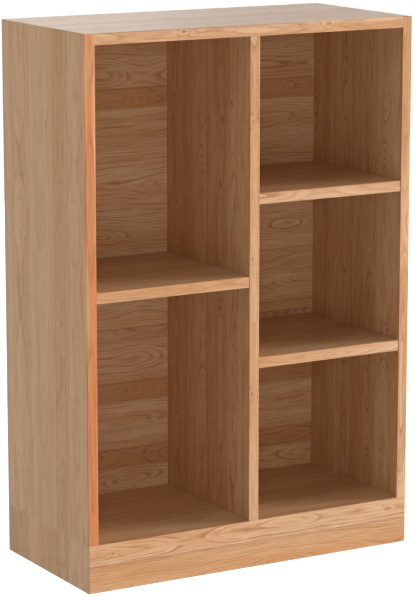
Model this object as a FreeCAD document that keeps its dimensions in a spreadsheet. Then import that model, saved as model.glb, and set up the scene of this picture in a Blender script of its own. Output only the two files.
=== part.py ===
import FreeCAD, Part
import Sketcher

import math
import os
import re

# A two-bay bookcase of veneered board on a low plinth box, with three loose
# shelves resting on steel pins.
#
# Frame: millimetres, +Z up, the front faces -Y, +X is to the right of someone
# who stands before it. The origin is on the floor at the middle of the base.
# Places in this file are counted from the case's own front left bottom corner
# (x to the right, y to the back, z up); place() takes them to the origin.

doc = FreeCAD.newDocument("bookcase")

# ---------------------------------------------------------------- sizes

SIZES = [
    ("case_width", 611, "outside width"),
    ("case_depth", 292, "outside depth"),
    ("case_height", 900, "outside height, plinth included"),
    ("base_height", 79, "floor to the compartments' floor and the sides' lower ends"),
    ("board", 18, "thickness of every veneered board"),
    ("left_bay", 281, "clear width left of the divider"),
    ("edging", 6, "depth of the solid strips on the front edges"),
    ("arris", 1.5, "rounding of the outer edges"),
    ("back_board", 5, "thickness of the back panel"),
    ("back_recess", 12, "from the back panel to the rear edges"),
    ("groove_depth", 8, "how far the back panel enters the sides and top"),
    ("groove_slack", 0.2, "room that a groove leaves the back panel"),
    ("left_shelf_top", 491, "height of the left shelf's upper face"),
    ("upper_shelf_top", 626.5, "height of the upper right shelf's upper face"),
    ("lower_shelf_top", 354.5, "height of the lower right shelf's upper face"),
    ("shelf_board", 18, "thickness of a shelf"),
    ("shelf_setback", 0.5, "from the case's front to a shelf's front"),
    ("shelf_end_gap", 0.5, "room at each end of a shelf"),
    ("shelf_back_gap", 2, "room behind a shelf"),
    ("pin_inset", 35, "from a shelf's front or back edge to its pins"),
    ("pin_pitch", 32, "height step from one pin hole to the next"),
    ("spigot_radius", 1.5, "the end of a shelf pin that enters the wood"),
    ("spigot_length", 8, "how far a shelf pin enters the wood"),
    ("peg_radius", 3, "the end of a shelf pin that carries the shelf"),
    ("peg_length", 8, "how far a shelf pin stands out under the shelf"),
    ("hole_slack", 0.05, "pin hole's radius over the spigot's"),
    ("dowel_radius", 4, "wooden dowels"),
    ("dowel_length", 30, "wooden dowels"),
    ("dowel_end", 10, "length of a dowel that enters a board's face"),
    ("dowel_inset", 40, "first and last dowel in a row, from the board's ends"),
    ("dowel_edge", 15, "lower and upper dowel in the plinth, from its edges"),
    ("spline_width", 12, "plywood splines across the mitres"),
    ("spline_thickness", 4, "plywood splines across the mitres"),
    ("spline_offset", 6, "spline's middle from the mitre's inner corner, each way"),
    ("spline_stop", 12, "whole wood left at each end of a spline's slot"),
    ("cleat", 20, "section of the cleats that carry the bottom panel"),
    ("block_leg", 36, "short sides of the triangular glue blocks"),
    ("screw_radius", 2, "countersunk wood screws"),
    ("screw_head_radius", 4, "countersunk wood screws"),
    ("cleat_screw_length", 35, "screws through the cleats"),
    ("divider_screw_length", 50, "screws through the bottom panel"),
    ("screw_inset", 70, "screws in the long cleats, from the plinth's corners"),
    ("back_screw_radius", 1.5, "round-head screws in the back panel"),
    ("back_screw_head", 3, "radius of their heads"),
    ("back_screw_length", 20, "length under their heads"),
    ("back_screw_slot", 0.8, "width and depth of the slots in their heads"),
    ("back_screw_inset", 60, "first and last back screw, from the panel's ends"),
]

sheet = doc.addObject("Spreadsheet::Sheet", "Sizes")
for row, (alias, value, meaning) in enumerate(SIZES, start=1):
    sheet.set(f"A{row}", alias)
    sheet.set(f"B{row}", str(value))
    sheet.set(f"C{row}", meaning)
    sheet.setAlias(f"B{row}", alias)
doc.recompute()

ALIASES = {alias for alias, value, meaning in SIZES}


# How a line's two ends, a sketch's origin and its axes are numbered.
START, END = 1, 2
ORIGIN = ACROSS_AXIS = -1
UP_AXIS = -2

# Every pocket cut so far.
POCKETS = []


def sheet_text(text):
    """Turn 'board / 2' into 'Sizes.board / 2', a size read from the sheet."""
    return re.sub(r"[a-z_]+", lambda word: ("Sizes." if word[0] in ALIASES else "") + word[0], text)


def bind(thing, **sizes):
    """Tie properties of an object to expressions of the sheet's sizes."""
    for name, text in sizes.items():
        thing.setExpression(name, sheet_text(text))


# Places and lengths that several pieces share, as expressions of the sizes.
INNER_WIDTH = "(case_width - 2 * board)"
RIGHT_INNER = "(case_width - board)"
DIVIDER_X = "(board + left_bay)"
RIGHT_BAY_X = "(board + left_bay + board)"
RIGHT_BAY = "(case_width - 3 * board - left_bay)"
UNDER_TOP = "(case_height - board)"
SIDE_HEIGHT = "(case_height - base_height)"
UNDER_BOTTOM = "(base_height - board)"
BACK_Y = "(case_depth - back_recess - back_board)"
REAR_INNER = "(case_depth - board)"
EASE = "(arris * (1 - 1 / sqrt(2)))"

# ---------------------------------------------------------------- makers


def place(thing, x, y, z, turn=None):
    """Put an object at a place counted from the case's front left bottom corner."""
    if turn:
        thing.Placement.Rotation = turn
    bind(thing, **{
        "Placement.Base.x": f"({x}) - case_width / 2",
        "Placement.Base.y": f"({y}) - case_depth / 2",
        "Placement.Base.z": f"{z}",
    })


def block(label, x, y, z, length, width, height):
    """A square-edged piece of board: length along X, width along Y."""
    piece = doc.addObject("Part::Box", label)
    piece.Label = label
    bind(piece, Length=length, Width=width, Height=height)
    place(piece, x, y, z)
    return piece


ALONG = {
    "+X": FreeCAD.Rotation(FreeCAD.Vector(0, 1, 0), 90),
    "+Y": FreeCAD.Rotation(FreeCAD.Vector(1, 0, 0), -90),
    "-Y": FreeCAD.Rotation(FreeCAD.Vector(1, 0, 0), 90),
    "+Z": FreeCAD.Rotation(),
}


def rod(label, x, y, z, along, radius, length):
    """A round rod from its own end, along one way of the case."""
    piece = doc.addObject("Part::Cylinder", label)
    piece.Label = label
    bind(piece, Radius=radius, Height=length)
    place(piece, x, y, z, ALONG[along])
    return piece


def fuse(label, base, tool):
    piece = doc.addObject("Part::Fuse", label)
    piece.Label = label
    piece.Base = base
    piece.Tool = tool
    return piece


def cut(label, base, tool):
    piece = doc.addObject("Part::Cut", label)
    piece.Label = label
    piece.Base = base
    piece.Tool = tool
    return piece


def group(label, pieces):
    """Identical loose pieces that share one node."""
    piece = doc.addObject("Part::Compound", label)
    piece.Label = label
    piece.Links = pieces
    return piece


def machined(blank, *tools):
    """The blank with its joinery cut: it takes over the blank's name."""
    label = blank.Label
    blank.Label = label + "_blank"
    tool = tools[0] if len(tools) == 1 else group(label + "_joinery", list(tools))
    return cut(label, blank, tool)


def origin_plane(body, role):
    return next(plane for plane in body.Origin.OriginFeatures if plane.Role == role)


def tie(sketch, name, constraint, text):
    """Add one driving distance to a sketch and bind it to the sheet."""
    index = sketch.addConstraint(constraint)
    sketch.renameConstraint(index, name)
    sketch.setExpression("Constraints." + name, sheet_text(text))


def outline(body, plane, corners):
    """A closed sketch whose corners are tied to the sheet; "0" puts one on an axis."""
    sketch = body.newObject("Sketcher::SketchObject", body.Label + "_outline")
    sketch.AttachmentSupport = [(origin_plane(body, plane), "")]
    sketch.MapMode = "FlatFace"
    count = len(corners)
    turns = [2 * math.pi * step / count for step in range(count)]
    start = [FreeCAD.Vector(200 + 100 * math.cos(turn), 200 + 100 * math.sin(turn), 0) for turn in turns]
    for step in range(count):
        sketch.addGeometry(Part.LineSegment(start[step], start[(step + 1) % count]))
    for step in range(count):
        sketch.addConstraint(Sketcher.Constraint("Coincident", step, END, (step + 1) % count, START))
    for step, (across, up) in enumerate(corners):
        if across == "0":
            sketch.addConstraint(Sketcher.Constraint("PointOnObject", step, START, UP_AXIS))
        else:
            tie(sketch, f"across_{step}",
                Sketcher.Constraint("DistanceX", ORIGIN, START, step, START, start[step].x), across)
        if up == "0":
            sketch.addConstraint(Sketcher.Constraint("PointOnObject", step, START, ACROSS_AXIS))
        else:
            tie(sketch, f"up_{step}",
                Sketcher.Constraint("DistanceY", ORIGIN, START, step, START, start[step].y), up)
    return sketch


def prism(label, plane, corners, length, x, y, z):
    """A body padded from an outline: an XZ one grows to the back, an XY one upwards."""
    body = doc.addObject("PartDesign::Body", label)
    body.Label = label
    pad = body.newObject("PartDesign::Pad", label + "_pad")
    pad.Profile = outline(body, plane, corners)
    pad.Reversed = plane == "XZ_Plane"
    bind(pad, Length=length)
    place(body, x, y, z)
    return body


def pocket(body, plane, corners, length):
    """Cut a pocket from one of the body's origin planes into the wood."""
    cutter = body.newObject("PartDesign::Pocket", body.Label + "_groove")
    cutter.Profile = outline(body, plane, corners)
    cutter.Reversed = plane == "XY_Plane"
    bind(cutter, Length=length)
    POCKETS.append(cutter)


def rectangle(x0, x1, y0, y1):
    return [(x0, y0), (x1, y0), (x1, y1), (x0, y1)]


def spaced(first, last, count):
    """Places in an even row from first to last."""
    return [f"({first} + ({last} - ({first})) * {step} / {count - 1})" for step in range(count)]


def ease_edges(body, planes):
    """Round a strip's edges wherever two of the given outer planes meet.

    planes holds pairs: 0, 1 or 2 for x, y or z, and whether it is the higher side.
    """
    doc.recompute()
    sharp = body.Tip
    box = sharp.Shape.BoundBox
    low = (box.XMin, box.YMin, box.ZMin)
    high = (box.XMax, box.YMax, box.ZMax)
    names = []
    for number, edge in enumerate(sharp.Shape.Edges, start=1):
        ends = [vertex.Point for vertex in edge.Vertexes]
        on = [all(abs(point[axis] - (high if upper else low)[axis]) < 1e-6 for point in ends)
              for axis, upper in planes]
        if sum(on) == 2:
            names.append(f"Edge{number}")
    fillet = body.newObject("PartDesign::Fillet", body.Label + "_arris")
    fillet.Base = (sharp, names)
    bind(fillet, Radius="arris")
    body.Tip = fillet


# ------------------------------------------------------------- fasteners

# Each is made once and then also cuts its own hole in the boards it joins.


def screw(label, x, y, z, length):
    """A countersunk wood screw driven upwards, its head's face at z."""
    depth = "(screw_head_radius - screw_radius)"
    cone = doc.addObject("Part::Cone", label + "_head")
    bind(cone, Radius1="screw_head_radius", Radius2="screw_radius", Height=depth)
    place(cone, x, y, z)
    shank = rod(label + "_shank", x, y, f"{z} + {depth}", "+Z", "screw_radius", f"{length} - {depth}")
    return fuse(label, cone, shank)


def back_screw(label, x, z):
    """A slotted round-head screw driven forwards through the back panel."""
    face = f"({BACK_Y} + back_board)"
    dome = doc.addObject("Part::Sphere", label + "_dome")
    dome.Angle1 = 0
    bind(dome, Radius="back_screw_head")
    place(dome, x, face, z, ALONG["+Y"])
    slot = block(label + "_slot", f"{x} - back_screw_head", f"{face} + back_screw_head - back_screw_slot",
                 f"{z} - back_screw_slot / 2", "2 * back_screw_head", "back_screw_slot", "back_screw_slot")
    shank = rod(label + "_shank", x, face, z, "-Y", "back_screw_radius", "back_screw_length")
    return fuse(label, cut(label + "_head", dome, slot), shank)


def dowel_row(name, places, along):
    """Wooden dowels, each from its own lower end."""
    return [rod(f"{name}_{step}", *place_of, along, "dowel_radius", "dowel_length")
            for step, place_of in enumerate(places, start=1)]


DOWEL_ROW = spaced("edging + dowel_inset", f"{BACK_Y} - dowel_inset", 3)
SIDE_MIDDLES = ("board / 2", f"{RIGHT_INNER} + board / 2")
DIVIDER_MIDDLE = f"({DIVIDER_X} + board / 2)"
PLINTH_LEVELS = ("dowel_edge", f"({UNDER_BOTTOM} - dowel_edge)")

side_dowels = group("side_dowels", dowel_row(
    "side_dowel", [(x, y, "base_height - dowel_length / 2") for x in SIDE_MIDDLES for y in DOWEL_ROW], "+Z"))
divider_dowels = group("divider_dowels", dowel_row(
    "divider_dowel", [(DIVIDER_MIDDLE, y, f"{UNDER_TOP} + dowel_end - dowel_length") for y in DOWEL_ROW], "+Z"))
brace_dowels = group("brace_dowels", dowel_row(
    "brace_dowel", [(DIVIDER_MIDDLE, y, z)
                    for y in ("board - dowel_end", f"{REAR_INNER} + dowel_end - dowel_length")
                    for z in PLINTH_LEVELS], "+Y"))
plinth_back_dowels = group("plinth_back_dowels", dowel_row(
    "plinth_back_dowel", [(x, f"{REAR_INNER} + board / 2", z)
                          for x in ("board - dowel_end", f"{RIGHT_INNER} + dowel_end - dowel_length")
                          for z in PLINTH_LEVELS], "+X"))

UNDER_CLEATS = f"({UNDER_BOTTOM} - cleat)"
BAY_MIDDLES = ("(board + left_bay / 2)", f"({RIGHT_BAY_X} + {RIGHT_BAY} / 2)")
CLEAT_SCREWS = [(x, y)
                for x in ("(board + cleat / 2)", f"({RIGHT_INNER} - cleat / 2)")
                for y in ("(board + screw_inset)", f"({REAR_INNER} - screw_inset)")]
CLEAT_SCREWS += [(x, y)
                 for x in BAY_MIDDLES
                 for y in ("(board + cleat / 2)", f"({REAR_INNER} - cleat / 2)")]
cleat_screws = group("cleat_screws", [
    screw(f"cleat_screw_{step}", x, y, UNDER_CLEATS, "cleat_screw_length")
    for step, (x, y) in enumerate(CLEAT_SCREWS, start=1)])
divider_screws = group("divider_screws", [
    screw(f"divider_screw_{step}", DIVIDER_MIDDLE, y, UNDER_BOTTOM, "divider_screw_length")
    for step, y in enumerate(DOWEL_ROW, start=1)])

BACK_SCREWS = [(x, f"({UNDER_BOTTOM} + board / 2)")
               for x in spaced("board + back_screw_inset", f"{RIGHT_INNER} - back_screw_inset", 5)]
BACK_SCREWS += [(DIVIDER_MIDDLE, z)
                for z in spaced("base_height + back_screw_inset", f"{UNDER_TOP} - back_screw_inset", 5)]
back_screws = group("back_screws", [
    back_screw(f"back_screw_{step}", x, z) for step, (x, z) in enumerate(BACK_SCREWS, start=1)])


def spline(label, plane, middle, lean, length, x, y, z):
    """A plywood spline square to a mitre; lean is + or - as it climbs to the right or falls."""
    across, up = middle
    other = "-" if lean == "+" else "+"
    wide = "spline_width / 2 / sqrt(2)"
    thick = "spline_thickness / 2 / sqrt(2)"
    corners = [
        (f"{across} - {wide} - {thick}", f"{up} {other} {wide} {lean} {thick}"),
        (f"{across} + {wide} - {thick}", f"{up} {lean} {wide} {lean} {thick}"),
        (f"{across} + {wide} + {thick}", f"{up} {lean} {wide} {other} {thick}"),
        (f"{across} - {wide} + {thick}", f"{up} {other} {wide} {other} {thick}"),
    ]
    return prism(label, plane, corners, length, x, y, z)


# A spline's outline is drawn beside its own corner: the left ones from the case's
# outer corner, the right ones from the inner face of the right side.
LEFT_MIDDLE = "(board - spline_offset)"
TOP_SPLINE = (f"{BACK_Y} - edging - 2 * spline_stop", "edging + spline_stop", UNDER_TOP)
BASE_SPLINE = ("base_height - 2 * spline_stop", "0", "spline_stop")
top_left_spline = spline(
    "top_left_spline", "XZ_Plane", (LEFT_MIDDLE, "spline_offset"), "+", TOP_SPLINE[0], "0", *TOP_SPLINE[1:])
top_right_spline = spline(
    "top_right_spline", "XZ_Plane", ("spline_offset", "spline_offset"), "-", TOP_SPLINE[0],
    RIGHT_INNER, *TOP_SPLINE[1:])
base_left_spline = spline(
    "base_left_spline", "XY_Plane", (LEFT_MIDDLE, LEFT_MIDDLE), "-", BASE_SPLINE[0], "0", *BASE_SPLINE[1:])
base_right_spline = spline(
    "base_right_spline", "XY_Plane", ("spline_offset", LEFT_MIDDLE), "+", BASE_SPLINE[0],
    RIGHT_INNER, *BASE_SPLINE[1:])

# ---------------------------------------------------------- shelves, pins


def pin_places(bay_x, bay_width, top):
    """(x, y, z, toward) of the four pins under a shelf; toward is +1 from the left wall."""
    low = f"{top} - shelf_board - peg_radius"
    rows = ("shelf_setback + pin_inset", f"{BACK_Y} - shelf_back_gap - pin_inset")
    walls = ((bay_x, 1), (f"({bay_x} + {bay_width})", -1))
    return [(x, y, low, toward) for x, toward in walls for y in rows]


def shelf_pins(label, bay_x, bay_width, top):
    """Four steel pins: a thin spigot in the wood and a thicker peg under the shelf."""
    pins = []
    for step, (x, y, z, toward) in enumerate(pin_places(bay_x, bay_width, top), start=1):
        spigot_x = f"{x} - spigot_length" if toward > 0 else x
        peg_x = x if toward > 0 else f"{x} - peg_length"
        spigot = rod(f"{label}_{step}_spigot", spigot_x, y, z, "+X", "spigot_radius", "spigot_length")
        peg = rod(f"{label}_{step}_peg", peg_x, y, z, "+X", "peg_radius", "peg_length")
        pins.append(fuse(f"{label}_{step}", spigot, peg))
    return group(label, pins)


def pin_holes(label, wall_x, toward, bay_x, bay_width, top):
    """Holes in one wall: the pins' own, a spare one above each and one below."""
    holes = []
    for x, y, z, way in pin_places(bay_x, bay_width, top):
        if way != toward:
            continue
        start = f"{wall_x} - spigot_length" if toward > 0 else wall_x
        for level in (-1, 0, 1):
            holes.append(rod(f"{label}_{len(holes) + 1}", start, y, f"{z} + {level} * pin_pitch", "+X",
                             "spigot_radius + hole_slack", "spigot_length"))
    return holes


def shelf(label, bay_x, bay_width, top):
    """A veneered shelf board and the solid strip glued to its front edge."""
    x = f"{bay_x} + shelf_end_gap"
    z = f"{top} - shelf_board"
    width = f"{bay_width} - 2 * shelf_end_gap"
    start = "(shelf_setback + edging)"
    block(label, x, start, z, width, f"{BACK_Y} - shelf_back_gap - {start}", "shelf_board")
    block(label + "_edging", x, "shelf_setback", z, width, "edging", "shelf_board")


LEFT = ("board", "left_bay")
RIGHT = (RIGHT_BAY_X, RIGHT_BAY)
SHELVES = [
    ("left_shelf", LEFT, "left_shelf_top"),
    ("upper_right_shelf", RIGHT, "upper_shelf_top"),
    ("lower_right_shelf", RIGHT, "lower_shelf_top"),
]
for name, (bay_x, bay_width), top in SHELVES:
    shelf(name, bay_x, bay_width, top)
    shelf_pins(name + "_pins", bay_x, bay_width, top)

left_side_holes = group("left_side_holes", pin_holes("left_side_hole", "board", 1, *LEFT, "left_shelf_top"))
divider_holes = group("divider_holes", (
    pin_holes("divider_left_hole", DIVIDER_X, -1, *LEFT, "left_shelf_top")
    + pin_holes("divider_upper_hole", RIGHT_BAY_X, 1, *RIGHT, "upper_shelf_top")
    + pin_holes("divider_lower_hole", RIGHT_BAY_X, 1, *RIGHT, "lower_shelf_top")))
right_side_holes = group("right_side_holes", (
    pin_holes("right_upper_hole", RIGHT_INNER, -1, *RIGHT, "upper_shelf_top")
    + pin_holes("right_lower_hole", RIGHT_INNER, -1, *RIGHT, "lower_shelf_top")))

# ------------------------------------------------------------ case boards

PANEL_DEPTH = "(case_depth - edging)"
GROOVE_IN = "(groove_depth + groove_slack)"
GROOVE_Y0 = f"({BACK_Y} - edging - groove_slack / 2)"
GROOVE_Y1 = f"({BACK_Y} - edging + back_board + groove_slack / 2)"

# The sides stand on the plinth and meet the top in mitres.
left_side = prism("left_side_panel", "XZ_Plane", [
    ("0", "0"),
    ("board", "0"),
    ("board", f"{SIDE_HEIGHT} - board"),
    (EASE, f"{SIDE_HEIGHT} - {EASE}"),
    ("0", f"{SIDE_HEIGHT} - arris"),
], PANEL_DEPTH, "0", "edging", "base_height")
pocket(left_side, "XY_Plane", rectangle(f"board - {GROOVE_IN}", "board", GROOVE_Y0, GROOVE_Y1),
       f"{SIDE_HEIGHT} - board + {GROOVE_IN}")
machined(left_side, side_dowels, top_left_spline, left_side_holes)

right_side = prism("right_side_panel", "XZ_Plane", [
    ("0", "0"),
    ("board", "0"),
    ("board", f"{SIDE_HEIGHT} - arris"),
    (f"board - {EASE}", f"{SIDE_HEIGHT} - {EASE}"),
    ("0", f"{SIDE_HEIGHT} - board"),
], PANEL_DEPTH, RIGHT_INNER, "edging", "base_height")
pocket(right_side, "XY_Plane", rectangle("0", GROOVE_IN, GROOVE_Y0, GROOVE_Y1),
       f"{SIDE_HEIGHT} - board + {GROOVE_IN}")
machined(right_side, side_dowels, top_right_spline, right_side_holes)

top = prism("top_panel", "XZ_Plane", [
    ("board", "0"),
    (RIGHT_INNER, "0"),
    (f"case_width - {EASE}", f"board - {EASE}"),
    ("case_width - arris", "board"),
    ("arris", "board"),
    (EASE, f"board - {EASE}"),
], PANEL_DEPTH, "0", "edging", UNDER_TOP)
pocket(top, "XY_Plane",
       rectangle(f"board - {GROOVE_IN}", f"{RIGHT_INNER} + {GROOVE_IN}", GROOVE_Y0, GROOVE_Y1), GROOVE_IN)
machined(top, divider_dowels, top_left_spline, top_right_spline)

divider = block("divider_panel", DIVIDER_X, "edging", "base_height",
                "board", f"{BACK_Y} - edging", f"{UNDER_TOP} - base_height")
machined(divider, divider_dowels, divider_screws, back_screws, divider_holes)

bottom = block("bottom_panel", "board", "board", UNDER_BOTTOM, INNER_WIDTH, f"{BACK_Y} - board", "board")
machined(bottom, divider_screws, cleat_screws, back_screws)

# The back panel is let into the sides and top. Its lower end narrows to pass
# between the plinth's boards, where it is screwed to the bottom panel.
BACK_TOP = f"{UNDER_TOP} + groove_depth - {UNDER_BOTTOM}"
back = prism("back_panel", "XZ_Plane", [
    ("groove_depth", "0"),
    (f"groove_depth + {INNER_WIDTH}", "0"),
    (f"groove_depth + {INNER_WIDTH}", "board"),
    (f"2 * groove_depth + {INNER_WIDTH}", "board"),
    (f"2 * groove_depth + {INNER_WIDTH}", BACK_TOP),
    ("0", BACK_TOP),
    ("0", "board"),
    ("groove_depth", "board"),
], "back_board", "board - groove_depth", BACK_Y, UNDER_BOTTOM)
machined(back, back_screws)

# ---------------------------------------------------------------- plinth

plinth_front = prism("plinth_front", "XY_Plane", [
    ("arris", "0"),
    ("case_width - arris", "0"),
    (f"case_width - {EASE}", EASE),
    (RIGHT_INNER, "board"),
    ("board", "board"),
    (EASE, EASE),
], "base_height", "0", "0", "0")
machined(plinth_front, base_left_spline, base_right_spline, brace_dowels)

plinth_left = prism("plinth_left", "XY_Plane", [
    ("0", "arris"),
    (EASE, EASE),
    ("board", "board"),
    ("board", "case_depth"),
    ("0", "case_depth"),
], "base_height", "0", "0", "0")
machined(plinth_left, base_left_spline, side_dowels, plinth_back_dowels)

plinth_right = prism("plinth_right", "XY_Plane", [
    ("board", "arris"),
    ("board", "case_depth"),
    ("0", "case_depth"),
    ("0", "board"),
    (f"board - {EASE}", EASE),
], "base_height", RIGHT_INNER, "0", "0")
machined(plinth_right, base_right_spline, side_dowels, plinth_back_dowels)

plinth_back = block("plinth_back", "board", REAR_INNER, "0", INNER_WIDTH, "board", UNDER_BOTTOM)
machined(plinth_back, plinth_back_dowels, brace_dowels)

plinth_brace = block("plinth_brace", DIVIDER_X, "board", "0",
                     "board", f"{REAR_INNER} - board", UNDER_BOTTOM)
machined(plinth_brace, brace_dowels)

# Cleats glued inside the plinth carry the bottom panel.
CLEATS = [
    ("left_cleat", "board", "board", "cleat", f"{REAR_INNER} - board"),
    ("right_cleat", f"{RIGHT_INNER} - cleat", "board", "cleat", f"{REAR_INNER} - board"),
    ("front_left_cleat", "board + cleat", "board", "left_bay - cleat", "cleat"),
    ("front_right_cleat", RIGHT_BAY_X, "board", f"{RIGHT_BAY} - cleat", "cleat"),
    ("back_left_cleat", "board + cleat", f"{REAR_INNER} - cleat", "left_bay - cleat", "cleat"),
    ("back_right_cleat", RIGHT_BAY_X, f"{REAR_INNER} - cleat", f"{RIGHT_BAY} - cleat", "cleat"),
]
for name, x, y, length, width in CLEATS:
    machined(block(name, x, y, UNDER_CLEATS, length, width, "cleat"), cleat_screws)

# Triangular glue blocks stiffen the plinth's corners under the cleats.
CORNERS = [
    ("front_left_block", [("0", "0"), ("block_leg", "0"), ("0", "block_leg")], "board", "board"),
    ("front_right_block", [("0", "0"), ("block_leg", "0"), ("block_leg", "block_leg")],
     f"{RIGHT_INNER} - block_leg", "board"),
    ("back_left_block", [("0", "0"), ("block_leg", "block_leg"), ("0", "block_leg")],
     "board", f"{REAR_INNER} - block_leg"),
    ("back_right_block", [("block_leg", "0"), ("block_leg", "block_leg"), ("0", "block_leg")],
     f"{RIGHT_INNER} - block_leg", f"{REAR_INNER} - block_leg"),
]
for name, corners, x, y in CORNERS:
    prism(name, "XY_Plane", corners, UNDER_CLEATS, x, y, "0")

# --------------------------------------------------------- front edging

# Solid strips cover the boards' front edges. The side strips run up past the
# end of the top strip. LOW and HIGH name the outer planes that are eased.
X, Y, Z = 0, 1, 2
LOW, HIGH = False, True


def strip(label, x, z, length, height, eased=()):
    piece = prism(label, "XZ_Plane", [("0", "0"), (length, "0"), (length, height), ("0", height)],
                  "edging", x, "0", z)
    if eased:
        ease_edges(piece, eased)


strip("left_side_edging", "0", "base_height", "board", SIDE_HEIGHT, ((X, LOW), (Y, LOW), (Z, HIGH)))
strip("right_side_edging", RIGHT_INNER, "base_height", "board", SIDE_HEIGHT,
      ((X, HIGH), (Y, LOW), (Z, HIGH)))
strip("top_edging", "board", UNDER_TOP, INNER_WIDTH, "board", ((Y, LOW), (Z, HIGH)))
strip("divider_edging", DIVIDER_X, "base_height", "board", f"{UNDER_TOP} - base_height")

# ------------------------------------------------------- check and write

NODES = [
    "top_panel", "left_side_panel", "right_side_panel", "divider_panel", "bottom_panel", "back_panel",
    "left_side_edging", "right_side_edging", "top_edging", "divider_edging",
    "plinth_front", "plinth_left", "plinth_right", "plinth_back", "plinth_brace",
    "top_left_spline", "top_right_spline", "base_left_spline", "base_right_spline",
    "side_dowels", "divider_dowels", "brace_dowels", "plinth_back_dowels",
    "cleat_screws", "divider_screws", "back_screws",
]
NODES += [name for name, *rest in CLEATS] + [name for name, *rest in CORNERS]
NODES += [name + ending for name, *rest in SHELVES for ending in ("", "_edging", "_pins")]

doc.recompute()
for thing in doc.Objects:
    if "Invalid" in thing.State or "Error" in thing.State:
        raise RuntimeError(f"{thing.Label} failed: {thing.State}")
for cutter in POCKETS:
    before = cutter.BaseFeature.Shape.Volume
    if not cutter.Shape.Volume < before:
        raise RuntimeError(f"{cutter.Label} cuts nothing")

os.makedirs("parts", exist_ok=True)
for name in NODES:
    found = [thing for thing in doc.Objects if thing.Label == name]
    if len(found) != 1:
        raise RuntimeError(f"{name} is the label of {len(found)} objects")
    shape = found[0].Shape
    if shape.isNull() or not shape.isValid() or not shape.Solids:
        raise RuntimeError(f"{name} has no valid solid")
    shape.exportStep(f"parts/{name}.step")
    print(f"{name}: {len(shape.Solids)} solid(s), {shape.Volume / 1000:.1f} cm3")
print(len(NODES), "nodes")
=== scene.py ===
# %% [markdown]
# # An oak bookcase on a plinth
# The case, its joinery and its loose shelves come ready made from the CAD model, in metres, with the origin on the
# floor under the middle of the case, the open front facing -Y and +Z up. This file gives them their looks: soft
# edges, oak that follows each board's own grain, bright metal for the pins and screws, a studio and a camera.

# %% Load the frame
import math

import bpy
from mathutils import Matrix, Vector


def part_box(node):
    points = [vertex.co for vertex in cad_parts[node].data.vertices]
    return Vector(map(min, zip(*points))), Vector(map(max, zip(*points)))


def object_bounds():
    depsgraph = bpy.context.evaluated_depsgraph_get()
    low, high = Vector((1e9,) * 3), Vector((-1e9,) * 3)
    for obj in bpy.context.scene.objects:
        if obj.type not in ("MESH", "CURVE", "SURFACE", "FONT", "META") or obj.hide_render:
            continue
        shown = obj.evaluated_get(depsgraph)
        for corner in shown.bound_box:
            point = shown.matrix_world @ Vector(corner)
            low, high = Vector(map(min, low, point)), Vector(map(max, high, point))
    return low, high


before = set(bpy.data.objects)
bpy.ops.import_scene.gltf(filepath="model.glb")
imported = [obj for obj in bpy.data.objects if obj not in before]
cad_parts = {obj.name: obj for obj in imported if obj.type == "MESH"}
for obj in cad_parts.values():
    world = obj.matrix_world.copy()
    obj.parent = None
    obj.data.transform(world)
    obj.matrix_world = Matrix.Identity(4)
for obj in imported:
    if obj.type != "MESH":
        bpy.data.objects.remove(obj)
cad_box = [list(corner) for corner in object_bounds()]
CASE_LOW, CASE_HIGH = (Vector(corner) for corner in cad_box)
CASE_SIZE = CASE_HIGH - CASE_LOW
print(f"case {CASE_SIZE.x:.3f} x {CASE_SIZE.y:.3f} x {CASE_SIZE.z:.3f} m, {len(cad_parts)} nodes")

# %% [markdown]
# ## Camera
# A piece of furniture this size is usually taken from a few metres off with a long lens, so that its uprights stay
# nearly parallel. The camera's place is worked out from the case: so many case heights to the left, in front and
# above the floor, turned about the upright axis first and then tipped down. A lens far longer than the sensor keeps
# the perspective gentle. The longer side of the picture is its height, and the sensor's size belongs to that side.

# %% The camera
HEIGHT = CASE_SIZE.z
CAMERA_LEFT, CAMERA_FRONT, CAMERA_UP = 2.1175, 4.087, 1.451   # in case heights, from the front left bottom corner
TURN_RIGHT = math.radians(30.032)
TIP_DOWN = math.radians(11.212)
LENS_MM, SENSOR_MM = 162.2, 36.0
FAR_ENOUGH = 30.0

camera_data = bpy.data.cameras.new("camera")
camera_data.lens = LENS_MM
camera_data.sensor_width = SENSOR_MM
camera_data.clip_end = FAR_ENOUGH
camera = bpy.data.objects.new("camera", camera_data)
corner = Vector((CASE_LOW.x, CASE_LOW.y, 0.0))
camera.location = corner + HEIGHT * Vector((-CAMERA_LEFT, -CAMERA_FRONT, CAMERA_UP))
camera.rotation_euler = (math.pi / 2 - TIP_DOWN, 0.0, -TURN_RIGHT)
bpy.context.scene.collection.objects.link(camera)
bpy.context.scene.camera = camera
print("camera at", [round(value, 3) for value in camera.location])

# %% [markdown]
# ## Small helpers for shader nodes
# Every finish here is a handful of shader nodes. Writing each one in four lines hides the idea, so two helpers do
# the typing: `add` makes a node and fills its inputs with values or with other nodes' outputs, and `calc` is `add`
# for the Math node, which is used most.

# %% Node helpers
NODES_IN_A_ROW, NODE_WIDTH, NODE_HEIGHT = 12, 200, 260


def add(tree, kind, inputs=None, **settings):
    """Add a node; inputs maps a socket's name or number to a value or to another node's output."""
    made = tree.nodes.new(kind)
    row, column = divmod(len(tree.nodes), NODES_IN_A_ROW)
    made.location = (NODE_WIDTH * column, -NODE_HEIGHT * row)
    for name, value in settings.items():
        setattr(made, name, value)
    for key, value in (inputs or {}).items():
        if isinstance(value, bpy.types.NodeSocket):
            tree.links.new(value, made.inputs[key])
        else:
            made.inputs[key].default_value = value
    return made


def calc(tree, operation, *values):
    return add(tree, "ShaderNodeMath", dict(enumerate(values)), operation=operation).outputs[0]


print("helpers: add, calc")

# %% [markdown]
# A formula made of Math nodes is hard to read when every sum names its tree again. `sums` gives plus, minus, times
# and power for one tree, so that a line of nodes reads nearly like the arithmetic it stands for.

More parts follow.
